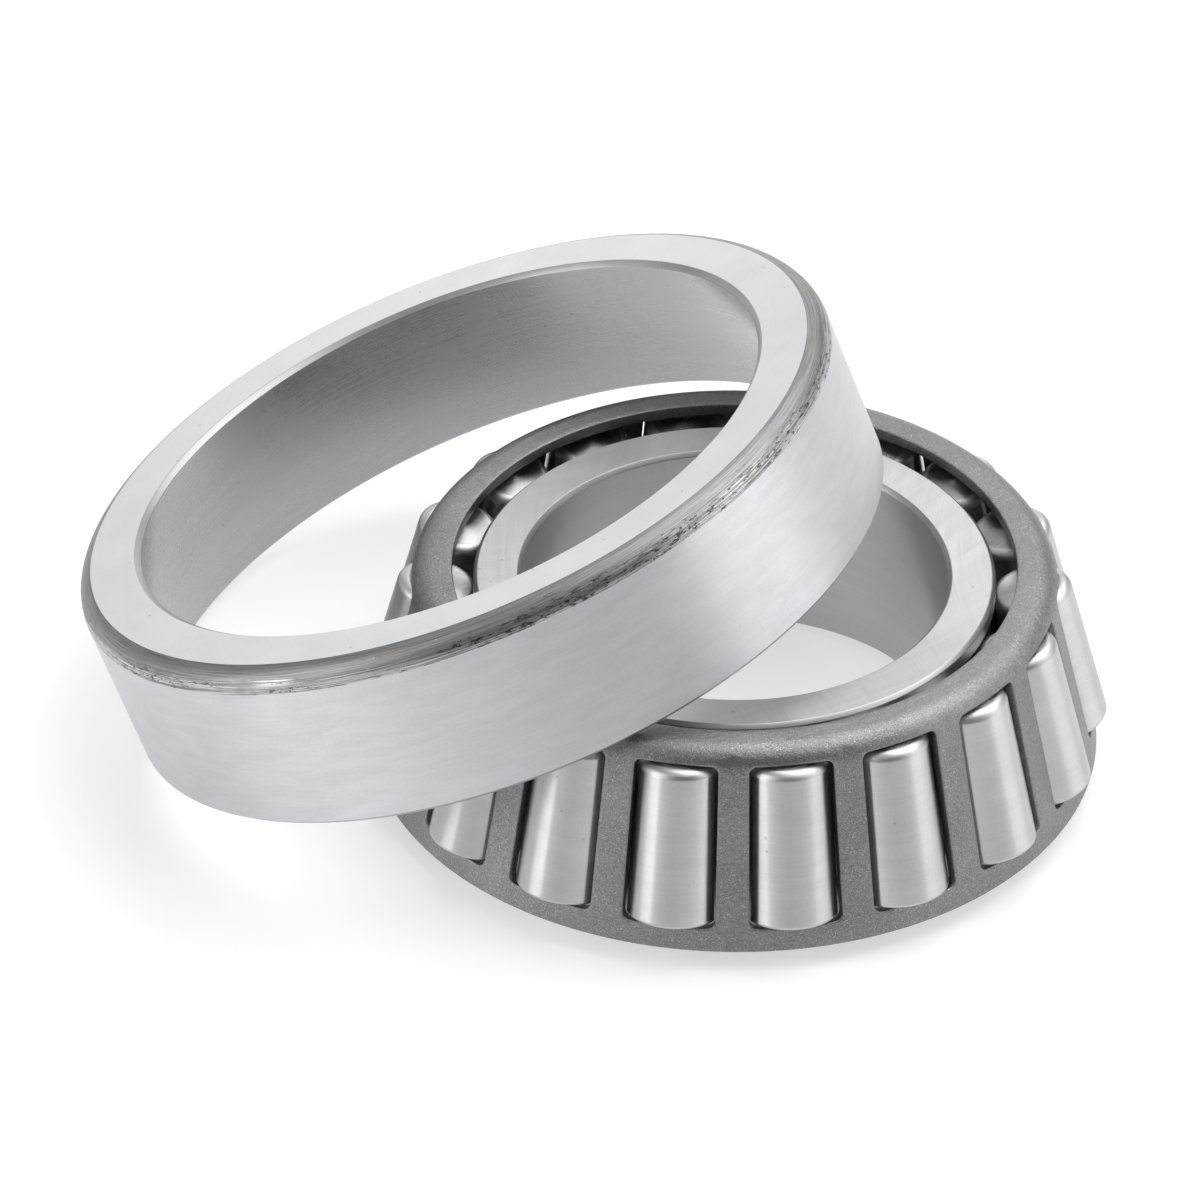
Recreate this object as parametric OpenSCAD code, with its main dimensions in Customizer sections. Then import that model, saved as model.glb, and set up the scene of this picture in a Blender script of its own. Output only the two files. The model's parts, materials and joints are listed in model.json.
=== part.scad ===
// Single-row tapered roller bearing, metric, ISO 355 dimension series 3DC.
// The inner ring lies on its back face with the cage and rollers round it, and the
// separable outer ring leans on the cage. Millimetres, +Z up, the origin is on the
// bore's axis in the plane of the inner ring's back face.

/* [Boundary sizes] */
// Diameter of the inner ring's bore
bore_d = 45; // [37.5:0.5:46]
// Outside diameter of the outer ring
outer_d = 85; // [80:0.5:105]
// Total width of the fitted bearing
total_w = 24.75; // [24.25:0.05:30]
// Width of the inner ring
inner_w = 23; // [22.6:0.1:28]
// Width of the outer ring
outer_w = 19; // [15:0.1:23]

/* [Raceways] */
// Angle between the outer raceway and the bearing's axis
contact_angle = 15.11; // [13:0.01:18]
// Inside diameter of the outer ring's raceway at its back face
outer_race_d = 69.61; // [69:0.01:72]
// Angle between a roller's side and its own axis
roller_half_angle = 1.85; // [1.5:0.01:1.9]

/* [Rollers] */
// Number of rollers
roller_count = 18; // [12:1:18]
// Length of a roller, end to end
roller_len = 17.5; // [14.6:0.1:17.8]
// Height of the middle of a roller's large end above the back face
roller_seat_h = 4.5; // [4.2:0.1:6]
// Corner radius at a roller's small end
roller_small_corner = 1.1; // [0.3:0.05:1.2]
// Corner radius at a roller's large end
roller_large_corner = 0.4; // [0.2:0.05:0.8]

/* [Inner ring] */
// Diameter of the large rib that guides the rollers
large_rib_d = 64.8; // [63:0.1:67]
// Diameter of the small rib that retains the rollers
small_rib_d = 55.2; // [54.6:0.1:56.4]
// Bore chamfer at the back face
back_chamfer = 1.5; // [0.5:0.1:2]
// Bore chamfer at the front face
front_chamfer = 0.75; // [0.3:0.05:1.5]
// Chamfer round each rib
rib_chamfer = 0.4; // [0.2:0.05:0.6]
// Radius of the relief groove beside each rib
relief_r = 0.45; // [0.3:0.05:0.6]

/* [Outer ring] */
// How far the rounded outer corner reaches in from the outside diameter
corner_in = 1.9; // [1:0.1:2.4]
// How far the rounded outer corner reaches down from the back face
corner_down = 2.5; // [1.5:0.1:3]
// Chamfer inside the back face, across
inside_chamfer = 0.75; // [0.3:0.05:1.2]
// Chamfer inside the back face, along the axis
inside_chamfer_h = 0.5; // [0.3:0.05:1]
// Chamfer on both edges of the thin front face
thin_chamfer = 0.4; // [0.2:0.05:0.6]

/* [Cage] */
// Thickness of the cage's sheet steel
cage_t = 1.3; // [1.05:0.05:1.5]
// Distance of the cage's outside face from the rollers' axes
cage_out = 3.2; // [2.9:0.05:3.4]
// Height of the cage's large end above the back face
cage_bottom = 2.4; // [1.5:0.1:3]
// Height of the cage's small end above the inner ring's front face
cage_rise = 1.2; // [1:0.1:2]
// Bend radius at the cage's small end, outside
shoulder_r = 2.5; // [2.05:0.05:2.8]
// Inside diameter of the cage's turned-in small end
cage_eye_d = 59.6; // [58.6:0.1:61]
// Corner radius of a window
window_corner = 0.8; // [0.4:0.1:1.2]
// Angle at which a window's sides open outwards
window_flare = 7.5; // [0:0.5:10]
// Chamfer on the edge of the cage's large end
cage_edge = 0.3; // [0.1:0.05:0.5]

/* [Clearances] */
// Play between a roller and the inner raceway
race_play = 0.03; // [0.02:0.01:0.1]
// Play between a roller's large end and the large rib
rib_play = 0.03; // [0.02:0.01:0.1]
// Play between a roller's small end and the small rib
small_end_play = 0.3; // [0.1:0.05:0.5]
// Play at each end of a roller in its window
window_end_play = 0.3; // [0.15:0.05:0.5]
// Play between a roller's side and the window's inner edge
window_side_play = 0.25; // [0.15:0.05:0.3]
// Gap where the leaning outer ring meets the cage
lean_gap = 0.15; // [0.1:0.05:0.3]

/* [Arrangement] */
// Where the outer ring is: leaning on the cage, or fitted over the rollers
outer_ring_place = "leaning"; // [leaning, fitted]
// Direction of the first roller
roller_phase = 16; // [0:1:19]
// How far in front of the bore's axis the outer ring touches the cage
lean_contact = 3; // [0:0.5:8]
// Height on the cage's bend, as an angle, at which the outer ring touches it
lean_contact_angle = 66; // [45:1:80]

/* [Hidden] */
fine = 96;
bore_r = bore_d / 2;
outer_r = outer_d / 2;

// All raceway and roller surfaces run to one apex on the axis.
apex_z = total_w + outer_race_d / 2 / tan(contact_angle);
roller_tilt = contact_angle - roller_half_angle;
inner_race_angle = contact_angle - 2 * roller_half_angle;
roller_large_s = (apex_z - roller_seat_h) / cos(roller_tilt);
roller_small_s = roller_large_s - roller_len;
roller_pitch = 360 / roller_count;

// Inner ring: places where the ribs' inner faces meet the raceway and the ribs' tops.
large_face_s = roller_large_s + rib_play;
small_face_s = roller_small_s - small_end_play;
large_rib_r = large_rib_d / 2;
small_rib_r = small_rib_d / 2;

// Outer ring: the raceway's radius at its two faces.
race_back_r = outer_race_d / 2;
race_front_r = race_back_r + outer_w * tan(contact_angle);
corner_r = (pow(corner_in, 2) + pow(corner_down, 2)) / (2 * corner_in);

// Cage: its outside face is the line of points with r cos(tilt) + z sin(tilt) = cage_k.
cage_k = cage_out + apex_z * sin(roller_tilt);
cage_top = inner_w + cage_rise;
bend_z = cage_top - shoulder_r;
bend_r = cage_r_at(bend_z, shoulder_r);
cage_eye_r = cage_eye_d / 2;
window_top_s = roller_small_s - window_end_play;
window_bottom_s = roller_large_s + window_end_play;
roller_small_r = roller_small_s * tan(roller_half_angle);
window_in_x = cage_out - cage_t;
window_in_y = sqrt(pow(roller_small_r + window_side_play, 2) - pow(window_in_x, 2));
window_angle = atan(window_in_y / roller_small_s);
window_wall = 0.2;
window_reach = 3;

// Leaning outer ring: its thin face's outer edge stands on the floor, and the same face's
// inner edge lies on the cage's bend at two points beside the bore's axis.
lean_r = bend_r + (shoulder_r + lean_gap) * cos(lean_contact_angle);
lean_z = bend_z + (shoulder_r + lean_gap) * sin(lean_contact_angle);
lean_reach = sqrt(pow(race_front_r + thin_chamfer, 2) - pow(lean_r, 2) + pow(lean_contact, 2));
foot_r = outer_r - thin_chamfer;
lean_angle = asin(lean_z / (foot_r + lean_reach));
lean_x = -lean_contact - lean_reach * cos(lean_angle);
lean_h = foot_r * sin(lean_angle);

// Height of the point at radius r that lies s along a roller's axis from the apex.
function z_at(r, s) = apex_z - (s - r * sin(roller_tilt)) / cos(roller_tilt);
// Radius of the inner raceway at height z.
function inner_race_r(z) = (apex_z - z) * tan(inner_race_angle) - race_play / cos(inner_race_angle);
// Radius at height z of a line that lies inset inside the cage's outside face.
function cage_r_at(z, inset) = (cage_k - inset - z * sin(roller_tilt)) / cos(roller_tilt);
// Height on the inner raceway of the point that lies s along a roller's axis.
function race_z_at(s) = apex_z - s * cos(inner_race_angle) / cos(roller_half_angle);
function two_digits(n) = n < 10 ? str("0", n) : str(n);

ROLLERS = [for (i = [1 : roller_count]) str("roller_", two_digits(i))];

// Local frame of roller i: +Z runs down its axis from the apex, +X points outwards.
module on_roller_axis(i) {
  rotate([0, 0, roller_phase + (i - 1) * roller_pitch])
    translate([0, 0, apex_z])
      rotate([0, 180 - roller_tilt, 0])
        rotate([0, 0, 180])
          children();
}

// Local frame of the outer ring: +Z is its axis, from the thin face to the back face.
module on_outer_ring() {
  if (outer_ring_place == "fitted") {
    translate([0, 0, total_w - outer_w]) children();
  } else {
    translate([lean_x, 0, lean_h]) rotate([0, -lean_angle, 0]) children();
  }
}

module inner_ring_section() {
  low_z = race_z_at(large_face_s);
  high_z = race_z_at(small_face_s);
  low_r = inner_race_r(low_z);
  high_r = inner_race_r(high_z);
  difference() {
    polygon([
      [bore_r + back_chamfer, 0],
      [large_rib_r - rib_chamfer, 0],
      [large_rib_r, rib_chamfer],
      [large_rib_r, z_at(large_rib_r, large_face_s) - rib_chamfer],
      [large_rib_r - rib_chamfer, z_at(large_rib_r - rib_chamfer, large_face_s)],
      [low_r, low_z],
      [high_r, high_z],
      [small_rib_r, z_at(small_rib_r, small_face_s)],
      [small_rib_r, inner_w - rib_chamfer],
      [small_rib_r - rib_chamfer, inner_w],
      [bore_r + front_chamfer, inner_w],
      [bore_r, inner_w - front_chamfer],
      [bore_r, back_chamfer]
    ]);
    translate([low_r, low_z]) circle(relief_r, $fn = 32);
    translate([high_r, high_z]) circle(relief_r, $fn = 32);
  }
}

module inner_ring() {
  color("silver") rotate_extrude($fn = fine) inner_ring_section();
}

module outer_ring_section() {
  difference() {
    polygon([
      [race_front_r + thin_chamfer, 0],
      [outer_r - thin_chamfer, 0],
      [outer_r, thin_chamfer],
      [outer_r, outer_w],
      [race_back_r + inside_chamfer, outer_w],
      [race_back_r + inside_chamfer_h * tan(contact_angle), outer_w - inside_chamfer_h],
      [race_front_r - thin_chamfer * tan(contact_angle), thin_chamfer]
    ]);
    difference() {
      translate([outer_r - corner_in, outer_w - corner_down]) square([corner_in + 1, corner_down + 1]);
      translate([outer_r - corner_r, outer_w - corner_down]) circle(corner_r, $fn = 64);
    }
  }
}

module outer_ring() {
  color("gainsboro") on_outer_ring() rotate_extrude($fn = fine) outer_ring_section();
}

// Outline of the cage's section that lies inset inside its outside face.
module cage_outline(inset, bottom) {
  turn_z = bend_z + (shoulder_r - inset) * sin(roller_tilt);
  polygon([
    [0, bottom],
    [cage_r_at(bottom, inset), bottom],
    [cage_r_at(turn_z, inset), turn_z],
    [bend_r, cage_top - inset],
    [0, cage_top - inset]
  ]);
  translate([bend_r, bend_z]) circle(shoulder_r - inset, $fn = 64);
}

module cage_section() {
  difference() {
    cage_outline(0, cage_bottom);
    cage_outline(cage_t, cage_bottom - 1);
    square([cage_eye_r, cage_top + 1]);
    translate([cage_r_at(cage_bottom, 0), cage_bottom])
      rotate(45)
        square(cage_edge * sqrt(2), center = true);
  }
}

// Half the window's width at distance s from the apex and distance x from the roller's axis.
function window_half(s, x) = s * tan(window_angle) + (x - window_in_x) * tan(window_flare);

module window_outline() {
  x = cage_out - window_wall;
  top = window_half(window_top_s, x);
  bottom = window_half(window_bottom_s, x);
  c = window_corner;
  polygon([
    [-top + c, window_top_s], [top - c, window_top_s],
    [window_half(window_top_s + c, x), window_top_s + c],
    [window_half(window_bottom_s - c, x), window_bottom_s - c],
    [bottom - c, window_bottom_s], [-bottom + c, window_bottom_s],
    [-window_half(window_bottom_s - c, x), window_bottom_s - c],
    [-window_half(window_top_s + c, x), window_top_s + c]
  ]);
  for (side = [-1, 1]) {
    translate([side * (top - c), window_top_s + c]) circle(c, $fn = 32);
    translate([side * (bottom - c), window_bottom_s - c]) circle(c, $fn = 32);
  }
}

// Everything on the inner side of one of a window's flared sides.
module window_side(side) {
  big = 400;
  translate([window_in_x, 0, 0])
    rotate([-side * window_angle, 0, 0])
      rotate([0, 0, -side * window_flare])
        translate([-big / 2, side > 0 ? -big : 0, -1])
          cube([big, big, big]);
}

module window_cut() {
  intersection() {
    translate([window_in_x - window_reach / 2, 0, 0])
      rotate([90, 0, 90])
        linear_extrude(cage_t + window_reach)
          window_outline();
    window_side(1);
    window_side(-1);
  }
}

module cage() {
  color("dimgray")
    difference() {
      rotate_extrude($fn = fine) cage_section();
      for (i = [1 : roller_count]) on_roller_axis(i) window_cut();
    }
}

// Half section of a roller, with its axis along Y and the apex at the origin. The small end
// is flat, and the large end is a part of a sphere round the apex, as the large rib is.
module roller_section() {
  small_s = roller_small_s + roller_small_corner;
  small_c = (small_s * sin(roller_half_angle) - roller_small_corner) / cos(roller_half_angle);
  large_reach = roller_large_s - roller_large_corner;
  large_turn = roller_half_angle - asin(roller_large_corner / large_reach);
  large_way = [sin(large_turn), cos(large_turn)];
  side_way = [cos(roller_half_angle), -sin(roller_half_angle)];
  polygon([
    [0, roller_small_s],
    [small_c, roller_small_s],
    [small_c, small_s] + roller_small_corner * side_way,
    large_reach * large_way + roller_large_corner * side_way,
    roller_large_s * large_way,
    [0, roller_large_s * large_way[1]]
  ]);
  translate([small_c, small_s]) circle(roller_small_corner, $fn = 32);
  translate(large_reach * large_way) circle(roller_large_corner, $fn = 32);
  intersection() {
    translate([0, large_reach]) square([roller_large_s * large_way[0], 1]);
    circle(roller_large_s, $fn = 720);
  }
}

module roller(i) {
  color("lightgray") on_roller_axis(i) rotate_extrude($fn = 64) roller_section();
}

inner_ring();
outer_ring();
cage();
for (i = [1 : roller_count]) {
  roller(i);
}
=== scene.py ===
import json
from math import acos, asin, atan2, cos, pi, radians, sin, sqrt, tan

import bpy
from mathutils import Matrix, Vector


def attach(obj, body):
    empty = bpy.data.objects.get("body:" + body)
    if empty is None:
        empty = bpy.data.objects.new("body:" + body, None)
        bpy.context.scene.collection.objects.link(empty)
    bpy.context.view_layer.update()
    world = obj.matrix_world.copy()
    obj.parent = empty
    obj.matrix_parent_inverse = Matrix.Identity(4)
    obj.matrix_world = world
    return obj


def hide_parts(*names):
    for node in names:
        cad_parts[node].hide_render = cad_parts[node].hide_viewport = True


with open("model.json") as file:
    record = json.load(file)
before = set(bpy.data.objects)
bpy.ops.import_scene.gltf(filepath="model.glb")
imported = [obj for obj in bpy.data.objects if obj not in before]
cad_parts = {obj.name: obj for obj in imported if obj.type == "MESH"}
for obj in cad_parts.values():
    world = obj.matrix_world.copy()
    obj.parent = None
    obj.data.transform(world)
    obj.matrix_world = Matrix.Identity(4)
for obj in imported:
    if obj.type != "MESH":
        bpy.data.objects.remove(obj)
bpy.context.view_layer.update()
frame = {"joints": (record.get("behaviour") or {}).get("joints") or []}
joints = {joint["name"]: joint for joint in frame["joints"]}

MM = 0.001

# ---------------------------------------------------------------- sizes, in millimetres
BORE_R = 22.5
INNER_W = 23.0
OUTER_R = 42.5
OUTER_W = 19.0
TOTAL_W = 24.75
RACE_BACK_R = 34.805  # the outer ring's raceway where it meets the thick side's face
CONTACT = radians(15.11)  # slope of the outer raceway
HALF_ANGLE = radians(1.85)  # of one roller
TILT = CONTACT - HALF_ANGLE  # of a roller's axis
INNER_RACE = CONTACT - 2 * HALF_ANGLE  # slope of the inner raceway
APEX_Z = TOTAL_W + RACE_BACK_R / tan(CONTACT)  # where all the cones meet
ROLLERS = 18
ROLLER_LEN = 17.5
LARGE_END_Z = 4.5  # where a roller's axis meets its large end
ROLLER_LARGE_S = (APEX_Z - LARGE_END_Z) / cos(TILT)  # from the apex, along a roller
ROLLER_SMALL_S = ROLLER_LARGE_S - ROLLER_LEN
SMALL_CORNER = 1.1
LARGE_CORNER = 0.4
RUNNING_GAP = 0.03
END_GAP = 0.3
LARGE_RIB_R = 32.4
SMALL_RIB_R = 27.6
RELIEF_R = 0.45
RACEWAY_LOW = 5.5  # the honed part of the inner ring lies between these levels
RACEWAY_HIGH = 20.0
BORE_LOW_EDGE = 1.5
BORE_TOP_EDGE = 0.45
EDGE = 0.4
CAGE_OUT = 3.2  # from the rollers' axes out to the cage's outer wall
CAGE_T = 1.3
CAGE_BOTTOM = 2.4
CAGE_TOP = INNER_W + 1.2
SHOULDER_R = 2.5
CAGE_EYE_R = 29.8
WINDOW_HALF = 7.33  # degrees
WINDOW_CORNER = 0.8
FIRST_WINDOW = 16  # degrees
CORNER_IN = 1.9
CORNER_DOWN = 2.5
TURNING_STEPS = 360


# ---------------------------------------------------------------- camera
def aim(item, target):
    item.rotation_euler = (Vector(target) - item.location).to_track_quat("-Z", "Y").to_euler()


azimuth, height = radians(-74.3), radians(36.45)
camera_distance = 0.850
towards = Vector((cos(height) * cos(azimuth), cos(height) * sin(azimuth), sin(height)))
bpy.ops.object.camera_add(location=towards * camera_distance)
camera = bpy.context.object
camera.data.sensor_width = 36
camera.data.lens = 237.7
sideways = Vector((0, 0, 1)).cross(towards).normalized()
upwards = towards.cross(sideways)
looked_at_point = sideways * -0.0144 + upwards * 0.0156
aim(camera, looked_at_point)
camera.data.clip_start = 0.05
bpy.context.scene.camera = camera


# ---------------------------------------------------------------- the bench work
def pick(piece):
    bpy.ops.object.select_all(action="DESELECT")
    piece.select_set(True)
    bpy.context.view_layer.objects.active = piece


def name_piece(name):
    piece = bpy.context.object
    piece.name = piece.data.name = name
    return piece


def finish_with(piece, kind, **settings):
    """Adds one modifier and applies it."""
    pick(piece)
    bpy.ops.object.modifier_add(type=kind)
    modifier = piece.modifiers[-1]
    for key, value in settings.items():
        setattr(modifier, key, value)
    bpy.ops.object.modifier_apply(modifier=modifier.name)


def smooth(piece, angle):
    pick(piece)
    bpy.ops.object.shade_smooth_by_angle(angle=radians(angle))
    finish_with(piece, "WEIGHTED_NORMAL", weight=80, keep_sharp=True)


def break_edges(piece, width, angle):
    """Rounds every edge that is sharper than the angle; the width is in mm."""
    finish_with(
        piece,
        "BEVEL",
        width=width * MM,
        segments=3,
        limit_method="ANGLE",
        angle_limit=radians(angle),
    )


def select_where(kind, test):
    """In edit mode, selects the points that pass the test, or the edges whose two ends do."""
    bpy.ops.mesh.select_mode(type=kind)
    bpy.ops.mesh.select_all(action="DESELECT")
    bpy.ops.object.mode_set(mode="OBJECT")
    mesh = bpy.context.object.data
    if kind == "VERT":
        for vertex in mesh.vertices:
            vertex.select = test(vertex.co / MM)
    else:
        for edge in mesh.edges:
            edge.select = all(test(mesh.vertices[v].co / MM) for v in edge.vertices)
    bpy.ops.object.mode_set(mode="EDIT")


def turn(name, section):
    """A ring turned round Z. The section lists its corners as (radius, height)."""
    bpy.ops.object.select_all(action="DESELECT")
    radius, level = section[0]
    bpy.ops.mesh.primitive_circle_add(
        vertices=TURNING_STEPS, radius=radius * MM, location=(0, 0, level * MM)
    )
    ring = name_piece(name)
    bpy.ops.object.transform_apply(location=True)
    bpy.ops.object.mode_set(mode="EDIT")
    bpy.ops.mesh.select_mode(type="EDGE")
    bpy.ops.mesh.select_all(action="SELECT")
    for (r0, z0), (r1, z1) in zip(section, section[1:] + section[:1]):
        bpy.ops.mesh.extrude_edges_move(
            TRANSFORM_OT_translate={"value": (0, 0, (z1 - z0) * MM)}
        )
        bpy.ops.transform.resize(value=(r1 / r0, r1 / r0, 1))
    bpy.ops.mesh.select_all(action="SELECT")
    bpy.ops.mesh.remove_doubles(threshold=0.002 * MM)
    bpy.ops.mesh.normals_make_consistent(inside=False)
    bpy.ops.object.mode_set(mode="OBJECT")
    return ring


def keep(mesh, name, kind, values):
    """Stores the values at the mesh's points, one after another."""
    held = mesh.attributes.new(name, kind, "POINT")
    held.data.foreach_set("vector" if kind == "FLOAT_VECTOR" else "value", values)


def note_turning(piece, number=0.0, axis=(0, 0, 1), place=(0, 0, 0)):
    """Notes where each point is on the turned piece, in mm, and where its axis will stand."""
    mesh = piece.data
    count = len(mesh.vertices)
    keep(mesh, "turned", "FLOAT_VECTOR", [c / MM for v in mesh.vertices for c in v.co])
    keep(mesh, "batch", "FLOAT", [number] * count)
    keep(mesh, "axis_way", "FLOAT_VECTOR", list(axis) * count)
    keep(mesh, "axis_place", "FLOAT_VECTOR", list(place) * count)


def stand_on(piece, joint):
    """Moves a piece made round Z at the origin to its joint's place and axis."""
    axis = joint["axis"]
    pick(piece)
    piece.location = joint["pos_m"]
    piece.rotation_euler = (0, -acos(axis[2]), atan2(-axis[1], -axis[0]))
    bpy.ops.object.transform_apply(location=True, rotation=True, scale=True)


def arc(centre, radius, start, end, steps):
    return [
        (
            centre[0] + radius * cos(start + (end - start) * i / steps),
            centre[1] + radius * sin(start + (end - start) * i / steps),
        )
        for i in range(steps + 1)
    ]


# ---------------------------------------------------------------- node helpers
def new_finish(name, metallic=1.0):
    finish = bpy.data.materials.new(name)
    finish.use_nodes = True
    tree = finish.node_tree
    surface = tree.nodes["Principled BSDF"]
    surface.inputs["Metallic"].default_value = metallic
    return finish, tree, surface


def feed(tree, socket, value):
    if isinstance(value, bpy.types.NodeSocket):
        tree.links.new(value, socket)
    else:
        socket.default_value = value


def calc(tree, operation, a, b=0.0, c=0.0):
    n = tree.nodes.new("ShaderNodeMath")
    n.operation = operation
    for socket, value in zip(n.inputs, (a, b, c)):
        feed(tree, socket, value)
    return n.outputs[0]


def vector(tree, x, y, z):
    n = tree.nodes.new("ShaderNodeCombineXYZ")
    for socket, value in zip(n.inputs, (x, y, z)):
        feed(tree, socket, value)
    return n.outputs[0]


def noise(tree, place, scale, detail, roughness=0.5):
    n = tree.nodes.new("ShaderNodeTexNoise")
    feed(tree, n.inputs["Vector"], place)
    feed(tree, n.inputs["Scale"], scale)
    feed(tree, n.inputs["Detail"], detail)
    feed(tree, n.inputs["Roughness"], roughness)
    return n.outputs["Fac"]


def cells(tree, place, scale, output="Color"):
    n = tree.nodes.new("ShaderNodeTexVoronoi")
    feed(tree, n.inputs["Vector"], place)
    feed(tree, n.inputs["Scale"], scale)
    return n.outputs[output]


def band(tree, value, low, high, out_low=0.0, out_high=1.0, smoothly=True):
    """Goes from out_low to out_high while value goes from low to high."""
    n = tree.nodes.new("ShaderNodeMapRange")
    n.interpolation_type = "SMOOTHSTEP" if smoothly else "LINEAR"
    for key, item in zip(
        ("Value", "From Min", "From Max", "To Min", "To Max"),
        (value, low, high, out_low, out_high),
    ):
        feed(tree, n.inputs[key], item)
    return n.outputs[0]


def blend(tree, share, a, b):
    n = tree.nodes.new("ShaderNodeMix")
    n.data_type = "RGBA"
    feed(tree, n.inputs["Factor"], share)
    for key, value in (("A", a), ("B", b)):
        socket = next(s for s in n.inputs if s.name == key and s.type == "RGBA")
        feed(tree, socket, (*value, 1) if isinstance(value, tuple) else value)
    return next(s for s in n.outputs if s.type == "RGBA")


def shade(tree, colour, amount):
    """A colour made darker or lighter by a factor."""
    n = tree.nodes.new("ShaderNodeVectorMath")
    n.operation = "SCALE"
    feed(tree, n.inputs[0], colour)
    feed(tree, n.inputs["Scale"], amount)
    return n.outputs[0]


def relief(tree, surface, height_map, depth_mm):
    n = tree.nodes.new("ShaderNodeBump")
    n.inputs["Distance"].default_value = depth_mm * MM
    tree.links.new(height_map, n.inputs["Height"])
    tree.links.new(n.outputs[0], surface.inputs["Normal"])


def point_gloss(tree, surface, way, amount, lay=0.0):
    """Stretches the gloss along a direction given in the piece's own space."""
    turned = tree.nodes.new("ShaderNodeVectorTransform")
    turned.vector_type = "VECTOR"
    turned.convert_from, turned.convert_to = "OBJECT", "WORLD"
    tree.links.new(way, turned.inputs[0])
    tree.links.new(turned.outputs[0], surface.inputs["Tangent"])
    surface.inputs["Anisotropic"].default_value = amount
    surface.inputs["Anisotropic Rotation"].default_value = lay


def attribute(tree, name, output="Vector"):
    """Reads an attribute that note_turning left on the piece."""
    held = tree.nodes.new("ShaderNodeAttribute")
    held.attribute_name = name
    return held.outputs[output]


def brushed_round(tree, surface, amount):
    """Spreads the gloss along the axis, across marks that run round it."""
    point_gloss(tree, surface, attribute(tree, "axis_way"), amount)


def brushed_flat(tree, surface, amount, lay):
    """Spreads the gloss of an end face: away from the axis at lay 0, and round it at lay 0.25."""
    place = tree.nodes.new("ShaderNodeTexCoord")
    away = tree.nodes.new("ShaderNodeVectorMath")
    away.operation = "SUBTRACT"
    tree.links.new(place.outputs["Object"], away.inputs[0])
    tree.links.new(attribute(tree, "axis_place"), away.inputs[1])
    point_gloss(tree, surface, away.outputs[0], amount, lay)


def reach_of(tree, x, y):
    """How far a place is from the origin, across the axis."""
    squares = [calc(tree, "MULTIPLY", side, side) for side in (x, y)]
    return calc(tree, "SQRT", calc(tree, "ADD", *squares))


class Lathe:
    """Where a point is on a turned piece, how far from the axis, and the piece's own number."""

    def __init__(self, tree):
        self.tree = tree
        self.point = attribute(tree, "turned")
        split = tree.nodes.new("ShaderNodeSeparateXYZ")
        tree.links.new(self.point, split.inputs[0])
        self.x, self.y, self.z = split.outputs
        self.r = reach_of(tree, self.x, self.y)
        self.batch = attribute(tree, "batch", "Fac")

    def lines(self, turns, per_mm, detail, roughness, shift=0.0):
        """Lines round the axis: turns is how often they break up, per_mm how fine they are."""
        tree = self.tree
        width = calc(tree, "SUBTRACT", self.z, self.r)
        own = calc(tree, "MULTIPLY", self.batch, 31.7)
        place = vector(
            tree,
            calc(tree, "MULTIPLY", calc(tree, "DIVIDE", self.x, self.r), turns),
            calc(tree, "MULTIPLY_ADD", calc(tree, "DIVIDE", self.y, self.r), turns, shift),
            calc(tree, "MULTIPLY_ADD", width, per_mm, own),
        )
        return noise(tree, place, 1.0, detail, roughness)

    def sweep(self, far_x, far_y, per_mm, along, detail):
        """Shallow arcs left by a face grinder whose wheel turns round a far point."""
        tree = self.tree
        dx = calc(tree, "SUBTRACT", self.x, far_x)
        dy = calc(tree, "SUBTRACT", self.y, far_y)
        reach = reach_of(tree, dx, dy)
        return noise(
            tree,
            vector(
                tree,
                calc(tree, "MULTIPLY", reach, per_mm),
                calc(tree, "MULTIPLY", calc(tree, "DIVIDE", dx, reach), along),
                calc(tree, "MULTIPLY", calc(tree, "DIVIDE", dy, reach), along),
            ),
            1.0,
            detail,
        )


# ---------------------------------------------------------------- finishes
def dents(tree, lathe, per_mm, size, share):
    """Small round dents, scattered: 1 in a dent and 0 outside."""
    place = vector(
        tree,
        calc(tree, "ADD", lathe.x, calc(tree, "MULTIPLY", lathe.batch, 17.3)),
        lathe.y,
        lathe.z,
    )
    near = cells(tree, place, per_mm, "Distance")
    split = tree.nodes.new("ShaderNodeSeparateColor")
    tree.links.new(cells(tree, place, per_mm), split.inputs[0])
    chosen = calc(tree, "LESS_THAN", split.outputs[0], share)
    return calc(tree, "MULTIPLY", chosen, band(tree, near, size * 0.6, size, 1.0, 0.0))


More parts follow.
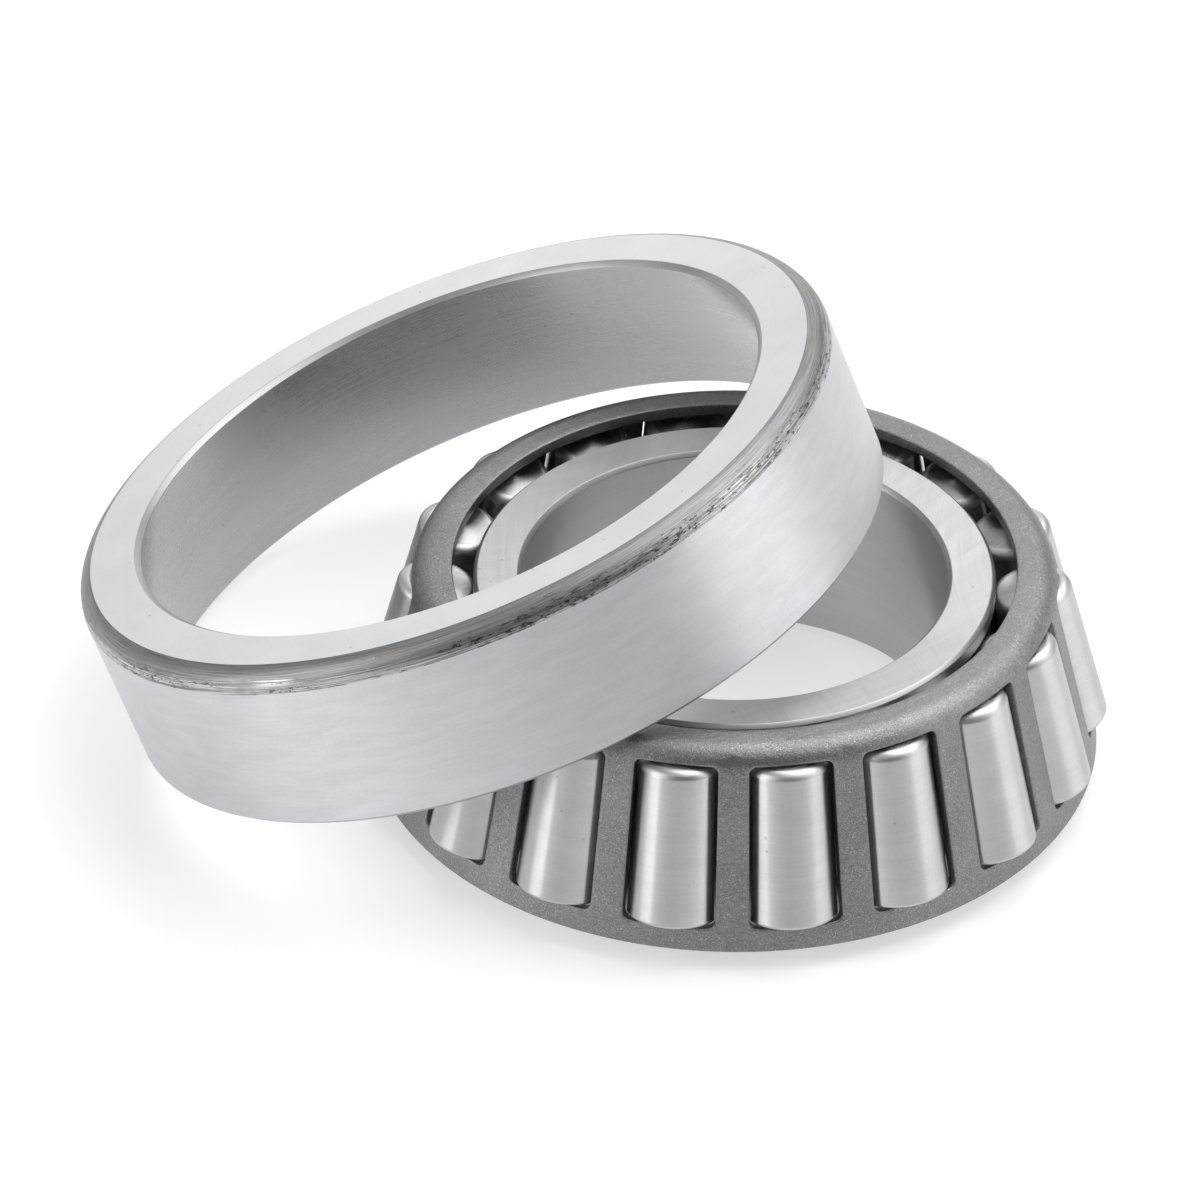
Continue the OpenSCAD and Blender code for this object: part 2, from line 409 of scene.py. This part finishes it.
def ground_steel(
    name, colour, spread, turns, per_mm, roughness, depth, clouds=0.04, brushed=0.85, dented=0.0
):
    """Steel ground round its axis: fine lines, faint clouds and a few small dents."""
    finish, tree, surface = new_finish(name)
    lathe = Lathe(tree)
    fine = lathe.lines(turns, per_mm, 3.0, 0.6)
    broad = lathe.lines(turns * 0.5, per_mm * 0.11, 1.0, 0.5, shift=5.0)
    cloud = noise(tree, lathe.point, 0.09, 4.0, 0.6)
    grain = noise(tree, lathe.point, 4.5, 2.0, 0.6)
    tone = calc(
        tree,
        "ADD",
        calc(
            tree,
            "ADD",
            band(tree, fine, 0.3, 0.7, 1 - spread, 1 + spread),
            band(tree, grain, 0.3, 0.7, -0.025, 0.025),
        ),
        calc(
            tree,
            "ADD",
            band(tree, broad, 0.35, 0.65, -spread * 0.7, spread * 0.7),
            band(tree, cloud, 0.3, 0.7, -clouds, clouds),
        ),
    )
    height_map = calc(tree, "ADD", fine, calc(tree, "MULTIPLY", grain, 0.35))
    if dented:
        dent = dents(tree, lathe, per_mm=0.55, size=0.11, share=dented)
        tone = calc(tree, "SUBTRACT", tone, calc(tree, "MULTIPLY", dent, 0.30))
        height_map = calc(tree, "SUBTRACT", height_map, calc(tree, "MULTIPLY", dent, 2.0))
    feed(tree, surface.inputs["Base Color"], shade(tree, colour, tone))
    feed(
        tree,
        surface.inputs["Roughness"],
        calc(
            tree,
            "ADD",
            band(tree, fine, 0.3, 0.7, roughness - 0.03, roughness + 0.03),
            band(tree, cloud, 0.3, 0.7, -0.03, 0.03),
        ),
    )
    if brushed:
        brushed_round(tree, surface, brushed)
    relief(tree, surface, height_map, depth)
    return finish


def face_ground_steel(name, colour, roughness, depth=0.002, spread=0.03, brushed=0.3, lay=0.25):
    """Steel ground flat: two faint families of shallow arcs that cross, and small dark specks."""
    finish, tree, surface = new_finish(name)
    lathe = Lathe(tree)
    first = lathe.sweep(70.0, 25.0, per_mm=4.5, along=6.0, detail=3.0)
    second = lathe.sweep(-52.0, 48.0, per_mm=3.7, along=6.0, detail=3.0)
    both = calc(tree, "MULTIPLY", calc(tree, "ADD", first, second), 0.5)
    cloud = noise(tree, lathe.point, 0.11, 4.0, 0.6)
    dent = dents(tree, lathe, per_mm=0.45, size=0.09, share=0.35)
    tone = calc(
        tree,
        "SUBTRACT",
        calc(
            tree,
            "ADD",
            band(tree, both, 0.35, 0.65, 1 - spread, 1 + spread),
            band(tree, cloud, 0.3, 0.7, -0.03, 0.03),
        ),
        calc(tree, "MULTIPLY", dent, 0.28),
    )
    feed(tree, surface.inputs["Base Color"], shade(tree, colour, tone))
    gloss = band(tree, both, 0.35, 0.65, roughness - 0.03, roughness + 0.04)
    feed(tree, surface.inputs["Roughness"], gloss)
    brushed_flat(tree, surface, brushed, lay)
    relief(tree, surface, both, depth)
    return finish


def tarnish_and_painted_light_corner(name):
    """The rounded corner left as hardened: painted shade makes it darker near the face and a
    painted highlight makes it lighter below, with streaks, smears, brown tarnish, dark pits and
    light nicks through both.
    """
    finish, tree, surface = new_finish(name)
    lathe = Lathe(tree)
    # Painted light: 0 at the foot of the corner and 1 at the face, so that the corner is painted
    # darker towards the face and lighter below it.
    rise = band(tree, lathe.z, OUTER_W / 2 - CORNER_DOWN, OUTER_W / 2, smoothly=False)
    streak = lathe.lines(2.6, 2.4, 4.0, 0.65)
    hair = lathe.lines(5.0, 9.0, 3.0, 0.65, shift=9.0)
    smear = noise(tree, lathe.point, 0.16, 5.0, 0.7)
    wear_and_painted_light = calc(
        tree,
        "ADD",
        rise,
        calc(
            tree,
            "ADD",
            band(tree, streak, 0.3, 0.7, -0.20, 0.20),
            band(tree, smear, 0.3, 0.7, -0.10, 0.10),
        ),
    )
    dark = band(tree, wear_and_painted_light, 0.34, 0.50)
    # Near the face the darker colour is painted shade over the scale; below it the lighter colour
    # is a painted highlight over the rubbed metal.
    scale = blend(tree, band(tree, hair, 0.3, 0.7), (0.17, 0.17, 0.175), (0.34, 0.34, 0.345))
    worn_and_painted_highlight = blend(tree, band(tree, hair, 0.38, 0.62), (0.20, 0.20, 0.205), (0.62, 0.62, 0.63))
    colour = blend(tree, dark, worn_and_painted_highlight, scale)
    brown = band(tree, noise(tree, lathe.point, 0.30, 3.0, 0.6), 0.54, 0.68)
    colour = blend(tree, calc(tree, "MULTIPLY", brown, 0.45), colour, (0.26, 0.24, 0.22))
    pitted = calc(
        tree,
        "MULTIPLY",
        band(tree, lathe.lines(34.0, 2.2, 6.0, 0.78, shift=21.0), 0.53, 0.565),
        band(tree, lathe.lines(3.4, 0.5, 3.0, 0.6, shift=4.0), 0.44, 0.54),
    )
    pitted = calc(tree, "MULTIPLY", pitted, band(tree, wear_and_painted_light, 0.52, 0.72, 1.0, 0.10))
    colour = blend(tree, calc(tree, "MULTIPLY", pitted, 0.9), colour, (0.045, 0.042, 0.038))
    nick = band(tree, lathe.lines(40.0, 3.0, 5.0, 0.75, shift=3.0), 0.64, 0.70)
    colour = blend(tree, calc(tree, "MULTIPLY", nick, 0.6), colour, (0.74, 0.74, 0.75))
    feed(tree, surface.inputs["Base Color"], colour)
    feed(tree, surface.inputs["Roughness"], band(tree, dark, 0.0, 1.0, 0.38, 0.46))
    relief(tree, surface, hair, depth_mm=0.002)
    return finish


def tumbled_sheet(name):
    """Pressed sheet steel, tumbled to a matte grey grain, with a few fine glints painted into its
    colour as light flecks.
    """
    finish, tree, surface = new_finish(name)
    lathe = Lathe(tree)
    grain = noise(tree, lathe.point, 9.0, 2.0, 0.7)
    coarse = noise(tree, lathe.point, 2.2, 3.0, 0.6)
    cloud = noise(tree, lathe.point, 0.12, 3.0, 0.5)
    split = tree.nodes.new("ShaderNodeSeparateColor")
    tree.links.new(cells(tree, lathe.point, 13.0), split.inputs[0])
    # Painted glints: a few cells get a light colour and less roughness, standing in for the
    # sparkle of the grain.
    painted_glint = band(tree, split.outputs[0], 0.91, 0.98)
    tone = calc(
        tree,
        "ADD",
        band(tree, grain, 0.3, 0.7, 0.72, 1.28),
        calc(
            tree,
            "ADD",
            band(tree, cloud, 0.3, 0.7, -0.08, 0.08),
            band(tree, coarse, 0.3, 0.7, -0.07, 0.07),
        ),
    )
    base = shade(tree, (0.225, 0.225, 0.233), tone)
    base = blend(tree, calc(tree, "MULTIPLY", painted_glint, 0.42), base, (0.66, 0.66, 0.67))
    feed(tree, surface.inputs["Base Color"], base)
    feed(tree, surface.inputs["Roughness"], band(tree, painted_glint, 0.0, 1.0, 0.36, 0.26))
    relief(
        tree,
        surface,
        calc(tree, "ADD", grain, calc(tree, "MULTIPLY", coarse, 1.2)),
        depth_mm=0.045,
    )
    return finish


outside_finish = ground_steel(
    "ground_outside",
    (0.58, 0.588, 0.61),
    spread=0.034,
    turns=14.0,
    per_mm=7.0,
    roughness=0.40,
    depth=0.0016,
    clouds=0.03,
    brushed=0.75,
)
raceway_finish = ground_steel(
    "honed_raceway",
    (0.43, 0.435, 0.45),
    spread=0.020,
    turns=0.8,
    per_mm=4.0,
    roughness=0.28,
    depth=0.0003,
    clouds=0.04,
    brushed=0.7,
    dented=0.14,
)
chamfer_finish = ground_steel(
    "turned_chamfer",
    (0.40, 0.40, 0.41),
    spread=0.06,
    turns=2.0,
    per_mm=5.0,
    roughness=0.42,
    depth=0.003,
    clouds=0.06,
    brushed=0.5,
)
bore_finish = ground_steel(
    "ground_bore",
    (0.48, 0.485, 0.50),
    spread=0.03,
    turns=2.0,
    per_mm=5.0,
    roughness=0.36,
    depth=0.0014,
    clouds=0.04,
    brushed=0.8,
)
rib_finish = ground_steel(
    "turned_rib",
    (0.42, 0.42, 0.43),
    spread=0.08,
    turns=2.0,
    per_mm=4.0,
    roughness=0.40,
    depth=0.004,
    clouds=0.05,
    brushed=0.6,
)
outer_face_finish = face_ground_steel(
    "ground_outer_face",
    (0.62, 0.625, 0.635),
    roughness=0.40,
    depth=0.0015,
    spread=0.03,
    brushed=0.2,
)
inner_face_finish = face_ground_steel(
    "ground_inner_face",
    (0.56, 0.565, 0.57),
    roughness=0.38,
    depth=0.002,
    spread=0.04,
    brushed=0.32,
)
corner_finish = tarnish_and_painted_light_corner("tarnish_and_painted_light_corner")
cage_finish = tumbled_sheet("tumbled_sheet")
roller_finish = ground_steel(
    "ground_roller",
    (0.55, 0.555, 0.57),
    spread=0.032,
    turns=1.2,
    per_mm=4.5,
    roughness=0.33,
    depth=0.0010,
    clouds=0.02,
    brushed=0.92,
    dented=0.22,
)
roller_end_finish = face_ground_steel(
    "ground_roller_end",
    (0.62, 0.62, 0.63),
    roughness=0.43,
    depth=0.004,
    spread=0.12,
    brushed=0.75,
    lay=0.0,
)
roller_corner_finish = ground_steel(
    "rolled_corner",
    (0.52, 0.52, 0.53),
    spread=0.05,
    turns=1.0,
    per_mm=3.0,
    roughness=0.43,
    depth=0.0015,
    clouds=0.03,
    brushed=0.0,
)


def paint(piece, finishes):
    """Gives each face the first finish whose test it passes: test(radius, height, up, out).

    Up and out are how far the face looks along the axis and away from it, 1 at most.
    """
    for finish, _ in finishes:
        piece.data.materials.append(finish)
    for face in piece.data.polygons:
        middle = face.center / MM
        radius = sqrt(middle.x**2 + middle.y**2)
        outward = (face.normal.x * middle.x + face.normal.y * middle.y) / max(radius, 0.001)
        for index, (_, test) in enumerate(finishes):
            if test(radius, middle.z, face.normal.z, outward):
                face.material_index = index
                break


def hand_over(piece, body, slot_name, *nodes):
    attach(piece, body)
    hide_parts(*nodes)


# ---------------------------------------------------------------- outer ring
race_front_r = RACE_BACK_R + OUTER_W * tan(CONTACT)
corner_r = (CORNER_IN**2 + CORNER_DOWN**2) / (2 * CORNER_IN)
middle = OUTER_W / 2
race_edge_in, race_edge_down = 0.75, 0.5
outer_section = (
    [(race_front_r + EDGE, -middle), (OUTER_R - EDGE, -middle), (OUTER_R, EDGE - middle)]
    + arc(
        (OUTER_R - corner_r, middle - CORNER_DOWN), corner_r, 0, asin(CORNER_DOWN / corner_r), 10
    )
    + [
        (RACE_BACK_R + race_edge_in, middle),
        (RACE_BACK_R + race_edge_down * tan(CONTACT), middle - race_edge_down),
        (race_front_r - EDGE * tan(CONTACT), EDGE - middle),
    ]
)
outer_ring = turn("outer_ring_steel", outer_section)
break_edges(outer_ring, 0.07, 25)
paint(
    outer_ring,
    [
        (outer_face_finish, lambda r, z, up, out: abs(up) > 0.99),
        (corner_finish, lambda r, z, up, out: z > middle - CORNER_DOWN and out > 0.1),
        (outside_finish, lambda r, z, up, out: out > 0.95),
        (raceway_finish, lambda r, z, up, out: out < -0.9),
        (chamfer_finish, lambda r, z, up, out: True),
    ],
)
smooth(outer_ring, 14)
note_turning(
    outer_ring,
    axis=joints["outer_ring_turn"]["axis"],
    place=joints["outer_ring_turn"]["pos_m"],
)
stand_on(outer_ring, joints["outer_ring_turn"])
hand_over(outer_ring, "outer_ring", "outer_ring_steel", "outer_ring")


# ---------------------------------------------------------------- inner ring
def rib_point(radius, s):
    """The point at that radius on the plane across a roller's axis at s."""
    return (radius, APEX_Z - (s - radius * sin(TILT)) / cos(TILT))


def race_point(s):
    """The inner raceway's point at s along the roller that runs on it."""
    level = APEX_Z - s * cos(INNER_RACE) / cos(HALF_ANGLE)
    return ((APEX_Z - level) * tan(INNER_RACE) - RUNNING_GAP / cos(INNER_RACE), level)


large_rib_s = ROLLER_LARGE_S + RUNNING_GAP
small_rib_s = ROLLER_SMALL_S - END_GAP
low = race_point(large_rib_s)
high = race_point(small_rib_s)
along_race = atan2(high[1] - low[1], high[0] - low[0])
inner_section = (
    [
        (BORE_R + BORE_LOW_EDGE, 0),
        (LARGE_RIB_R - EDGE, 0),
        (LARGE_RIB_R, EDGE),
        (LARGE_RIB_R, rib_point(LARGE_RIB_R, large_rib_s)[1] - EDGE),
        rib_point(LARGE_RIB_R - EDGE, large_rib_s),
    ]
    + arc(low, RELIEF_R, TILT, along_race - 2 * pi, 8)
    + arc(high, RELIEF_R, along_race + pi, TILT, 8)
    + [
        rib_point(SMALL_RIB_R, small_rib_s),
        (SMALL_RIB_R, INNER_W - EDGE),
        (SMALL_RIB_R - EDGE, INNER_W),
        (BORE_R + BORE_TOP_EDGE, INNER_W),
        (BORE_R, INNER_W - BORE_TOP_EDGE),
        (BORE_R, BORE_LOW_EDGE),
    ]
)


def on_raceway(radius, level):
    return RACEWAY_LOW < level < RACEWAY_HIGH and radius < LARGE_RIB_R - 0.2


inner_ring = turn("inner_ring_steel", inner_section)
break_edges(inner_ring, 0.06, 30)
paint(
    inner_ring,
    [
        (inner_face_finish, lambda r, z, up, out: abs(up) > 0.99 and r < LARGE_RIB_R - 0.3),
        (bore_finish, lambda r, z, up, out: out < -0.95 and r < BORE_R + 0.1),
        (raceway_finish, lambda r, z, up, out: out > 0.9 and on_raceway(r, z)),
        (chamfer_finish, lambda r, z, up, out: r < BORE_R + BORE_LOW_EDGE + 0.1),
        (rib_finish, lambda r, z, up, out: True),
    ],
)
smooth(inner_ring, 14)
note_turning(inner_ring)
hand_over(inner_ring, "inner_ring", "inner_ring_steel", "inner_ring")


# ---------------------------------------------------------------- rollers
small_end_r = ROLLER_SMALL_S * tan(HALF_ANGLE)
large_end_r = ROLLER_LARGE_S * tan(HALF_ANGLE)
bpy.ops.object.select_all(action="DESELECT")
bpy.ops.mesh.primitive_cylinder_add(
    vertices=96, radius=large_end_r * MM, depth=ROLLER_LEN * MM
)
roller = name_piece("roller_steel_01")
bpy.ops.object.mode_set(mode="EDIT")
select_where("VERT", lambda p: p.z > 0)
shrink = small_end_r / large_end_r
bpy.ops.transform.resize(value=(shrink, shrink, 1))
select_where("EDGE", lambda p: p.z > 0)
bpy.ops.mesh.bevel(offset=SMALL_CORNER * MM, segments=10, affect="EDGES")
select_where("EDGE", lambda p: p.z < -ROLLER_LEN / 2 + 0.001)
bpy.ops.mesh.bevel(offset=LARGE_CORNER * MM, segments=5, affect="EDGES")
bpy.ops.object.mode_set(mode="OBJECT")
paint(
    roller,
    [
        (roller_end_finish, lambda r, z, up, out: abs(up) > 0.999),
        (roller_corner_finish, lambda r, z, up, out: abs(up) > 0.12),
        (roller_finish, lambda r, z, up, out: True),
    ],
)
smooth(roller, 20)
rollers = [roller]
for number in range(2, ROLLERS + 1):
    pick(roller)
    bpy.ops.object.duplicate()
    rollers.append(name_piece("roller_steel_%02d" % number))
for number, piece in enumerate(rollers, start=1):
    pick(piece)
    piece.rotation_euler = (0, 0, number * 2.4)  # so that no two show the same marks
    node = "roller_%02d" % number
    spin = joints[node + "_spin"]
    note_turning(piece, float(number), spin["axis"], spin["pos_m"])
    bpy.ops.object.transform_apply(rotation=True)
    stand_on(piece, spin)
    hand_over(piece, node, "roller_steel", node)


# ---------------------------------------------------------------- cage
# The wall follows the rollers' tilt, bends in at bend_z and ends in a flat collar. Lengths
# named _s run from the apex along a roller; those of the flat blank run up from its foot.
cage_k = CAGE_OUT + APEX_Z * sin(TILT)
bend_z = CAGE_TOP - SHOULDER_R
bend_r = (cage_k - SHOULDER_R - bend_z * sin(TILT)) / cos(TILT)
foot_s = (APEX_Z + CAGE_OUT * sin(TILT) - CAGE_BOTTOM) / cos(TILT)
turn_s = (APEX_Z + CAGE_OUT * sin(TILT) - bend_z - SHOULDER_R * sin(TILT)) / cos(TILT)
side_len = foot_s - turn_s
bend_len = SHOULDER_R * (pi / 2 - TILT)
top_len = bend_r - CAGE_EYE_R
window_low = foot_s - (ROLLER_LARGE_S + END_GAP)
window_high = foot_s - (ROLLER_SMALL_S - END_GAP)
PITCH = 360 / ROLLERS
MID_R = 36.2
FLAT_R = MID_R * pi / 180  # mm of the flat blank for one degree of the cage


def rolled(place):
    """Where a point of the flat blank (across in mm at mid radius, up in mm) lies on the cage."""
    turned_by = radians(place.x / FLAT_R)
    up = place.y
    if up <= side_len:
        s = foot_s - up
        radius = s * sin(TILT) + CAGE_OUT * cos(TILT)
        level = APEX_Z - s * cos(TILT) + CAGE_OUT * sin(TILT)
    elif up <= side_len + bend_len:
        angle = TILT + (up - side_len) / SHOULDER_R
        radius = bend_r + SHOULDER_R * cos(angle)
        level = bend_z + SHOULDER_R * sin(angle)
    else:
        radius = bend_r - (up - side_len - bend_len)
        level = CAGE_TOP
    return Vector((radius * cos(turned_by), radius * sin(turned_by), level)) * MM


SIDE_CUTS, END_CUTS = 11, 9
CORNER_CUTS = 6  # in a window's corner; the blank's own outline gets as many more

# The window's outline, with its corners rounded and its sides divided.
bpy.ops.object.select_all(action="DESELECT")
window_size = Vector((2 * WINDOW_HALF * FLAT_R, window_high - window_low, 0))
window_mid = (window_low + window_high) / 2
bpy.ops.mesh.primitive_plane_add(size=1)
cage = name_piece("cage_steel")
cage.scale = window_size
cage.location = (0, window_mid, 0)
bpy.ops.object.transform_apply(location=True, scale=True)
bpy.ops.object.mode_set(mode="EDIT")
bpy.ops.mesh.select_all(action="SELECT")
bpy.ops.mesh.bevel(offset=WINDOW_CORNER, segments=CORNER_CUTS, affect="VERTICES")
bpy.ops.mesh.delete(type="ONLY_FACE")


def select_edges(test):
    """In edit mode, selects the edges whose middle and length, in mm, pass the test."""
    bpy.ops.mesh.select_mode(type="EDGE")
    bpy.ops.mesh.select_all(action="DESELECT")
    bpy.ops.object.mode_set(mode="OBJECT")
    mesh = bpy.context.object.data
    for edge in mesh.edges:
        a, b = (mesh.vertices[v].co for v in edge.vertices)
        edge.select = test((a + b) / 2, (a - b).length)
    bpy.ops.object.mode_set(mode="EDIT")


# Only the four straight sides are longer than 3 mm, and the upright two are over 3 mm out.
select_edges(lambda m, length: length > 3 and abs(m.x) > 3)
bpy.ops.mesh.subdivide(number_cuts=SIDE_CUTS)
select_edges(lambda m, length: length > 3 and abs(m.x) < 3)
bpy.ops.mesh.subdivide(number_cuts=END_CUTS)

# The blank's own outline, one pitch wide, divided to match, and bridged to the window.
edge_low, edge_high = 1.2, 21.9
half_pitch = PITCH / 2 * FLAT_R
bpy.ops.mesh.primitive_plane_add(size=1, location=(0, 0, 0))
bpy.ops.transform.resize(value=(2 * half_pitch, edge_high - edge_low, 1))
bpy.ops.transform.translate(value=(0, (edge_high + edge_low) / 2, 0))
bpy.ops.mesh.delete(type="ONLY_FACE")
on_side = half_pitch - 0.01
select_edges(lambda m, length: abs(m.x) > on_side)
bpy.ops.mesh.subdivide(number_cuts=SIDE_CUTS + CORNER_CUTS)
select_edges(lambda m, length: length > 5 and abs(m.x) < 0.01)
bpy.ops.mesh.subdivide(number_cuts=END_CUTS + CORNER_CUTS)
bpy.ops.mesh.select_all(action="SELECT")
bpy.ops.mesh.bridge_edge_loops(number_cuts=3, interpolation="LINEAR")

# The band below the windows, and the collar above them.
select_edges(lambda m, length: m.y < edge_low + 0.001)
bpy.ops.mesh.extrude_edges_move(TRANSFORM_OT_translate={"value": (0, -edge_low, 0)})
bend_end = side_len + bend_len
BEND_STEPS, COLLAR_STEPS = 5, 3
rises = [(bend_end - edge_high) / BEND_STEPS] * BEND_STEPS
rises += [top_len / COLLAR_STEPS] * COLLAR_STEPS
reached = edge_high
for rise in rises:
    select_edges(lambda m, length: m.y > reached - 0.001)
    bpy.ops.mesh.extrude_edges_move(TRANSFORM_OT_translate={"value": (0, rise, 0)})
    reached += rise
bpy.ops.object.mode_set(mode="OBJECT")
for corner in cage.data.vertices:
    corner.co = rolled(corner.co)

# One for each roller round the axis, welded, and given the sheet's thickness inwards.
cage.rotation_euler = (0, 0, radians(FIRST_WINDOW))
bpy.ops.object.transform_apply(rotation=True)
bpy.ops.object.mode_set(mode="EDIT")
bpy.ops.mesh.select_all(action="SELECT")
bpy.ops.mesh.spin(
    steps=ROLLERS - 1,
    dupli=True,
    angle=2 * pi * (ROLLERS - 1) / ROLLERS,
    center=(0, 0, 0),
    axis=(0, 0, 1),
)
bpy.ops.mesh.select_all(action="SELECT")
bpy.ops.mesh.remove_doubles(threshold=0.003 * MM)
bpy.ops.mesh.normals_make_consistent(inside=False)
bpy.ops.object.mode_set(mode="OBJECT")
outwards = sum(f.normal.x * f.center.x + f.normal.y * f.center.y for f in cage.data.polygons)
if outwards < 0:
    bpy.ops.object.mode_set(mode="EDIT")
    bpy.ops.mesh.select_all(action="SELECT")
    bpy.ops.mesh.flip_normals()
    bpy.ops.object.mode_set(mode="OBJECT")
finish_with(cage, "SOLIDIFY", thickness=CAGE_T * MM, offset=-1, use_even_offset=True)
pick(cage)
bpy.ops.object.mode_set(mode="EDIT")
select_where("VERT", lambda p: p.z < CAGE_BOTTOM + 0.001)
bpy.ops.transform.resize(value=(1, 1, 0), center_override=(0, 0, CAGE_BOTTOM * MM))
bpy.ops.object.mode_set(mode="OBJECT")
break_edges(cage, 0.16, 50)
paint(cage, [(cage_finish, lambda r, z, up, out: True)])
smooth(cage, 35)
note_turning(cage)
hand_over(cage, "cage", "cage_steel", "cage")


# ---------------------------------------------------------------- floor and light
bpy.ops.object.select_all(action="DESELECT")
bpy.ops.mesh.primitive_plane_add(size=3.0, location=(0, 0, 0))
floor = name_piece("floor")
floor_finish, _, floor_surface = new_finish("pale_floor", 0.0)
floor_surface.inputs["Base Color"].default_value = (0.52, 0.52, 0.52, 1)
floor_surface.inputs["Roughness"].default_value = 0.9
floor_surface.inputs["Specular IOR Level"].default_value = 0.0
floor_surface.inputs["Emission Color"].default_value = (1, 1, 1, 1)
floor_surface.inputs["Emission Strength"].default_value = 0.54
floor.data.materials.append(floor_finish)


part_middle = (-0.01, 0, 0.015)


def softbox(name, turned_by, height, distance, width, depth, glow):
    """A lit panel: degrees round from the camera, degrees up, metres, and glow for its area."""
    angle = azimuth + radians(turned_by)
    rise = radians(height)
    place = Vector((cos(rise) * cos(angle), cos(rise) * sin(angle), sin(rise))) * distance
    bpy.ops.object.light_add(type="AREA", location=place)
    lamp = bpy.context.object
    lamp.name = name
    lamp.data.shape = "RECTANGLE"
    lamp.data.size = width
    lamp.data.size_y = depth
    lamp.data.energy = glow * pi * width * depth
    lamp.visible_camera = False
    aim(lamp, part_middle)


# The room is even, and darker on the side that the object is seen from.
world = bpy.data.worlds.new("studio")
world.use_nodes = True
room = world.node_tree
looked_at = room.nodes.new("ShaderNodeTexCoord")
side = room.nodes.new("ShaderNodeVectorMath")
side.operation = "DOT_PRODUCT"
dark_way = azimuth + radians(12)
side.inputs[1].default_value = (cos(dark_way), sin(dark_way), 0.1)
room.links.new(looked_at.outputs["Generated"], side.inputs[0])
level = band(room, side.outputs["Value"], 0.50, 0.97, out_low=0.50, out_high=0.06)
room.links.new(level, room.nodes["Background"].inputs["Color"])
bpy.context.scene.world = world
softbox("top_box", 128, 66, distance=0.80, width=0.90, depth=0.80, glow=2.5)
softbox("back_box", 188, 13, distance=0.95, width=0.85, depth=0.50, glow=1.0)
softbox("left_box", -68, 22, distance=0.75, width=0.42, depth=0.60, glow=2.5)
softbox("right_box", 84, 24, distance=0.80, width=0.60, depth=0.60, glow=1.25)
bpy.context.scene.view_settings.view_transform = "Standard"
